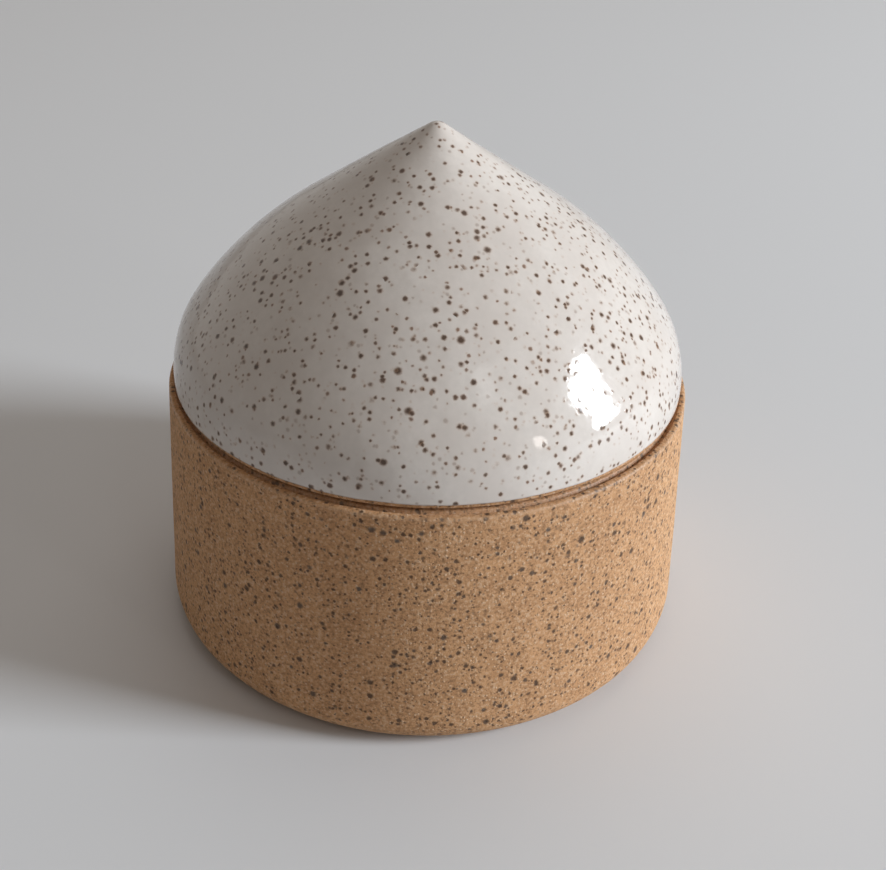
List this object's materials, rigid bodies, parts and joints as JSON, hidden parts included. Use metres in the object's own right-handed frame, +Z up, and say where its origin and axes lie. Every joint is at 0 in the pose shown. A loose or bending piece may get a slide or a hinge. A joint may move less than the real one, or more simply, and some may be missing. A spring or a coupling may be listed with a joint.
{
  "type": "salt box",
  "caption": "Round stoneware salt box: a raw speckled clay pot with a pointed, glazed dome lid that lifts off.",
  "frame": {"origin": "centre of the foot ring, on the table", "axes": "+Z up along the axis on which the pot and lid were thrown; the piece is round, so +X and +Y are any two sides"},
  "size_m": [0.1054, 0.1054, 0.099],
  "materials": {
    "raw_clay": "raw, sandy, speckled buff stoneware",
    "lid_clay": "raw clay of the lid's edge, seat and flange",
    "lid_glaze": "gloss off-white glaze with brown iron specks",
    "liner_glaze": "gloss off-white glaze with brown iron specks"
  },
  "bodies": {
    "pot": {"pot_body": "raw_clay", "pot_liner": "liner_glaze"},
    "lid": {"lid_shell": "lid_clay", "lid_glaze": "lid_glaze", "lid_liner": "liner_glaze"}
  },
  "joints": [
    {"name": "lid_lift", "type": "slide", "parent": "pot", "child": "lid", "axis": [0, 0, 1], "range_m": [0, 0.07]}
  ]
}
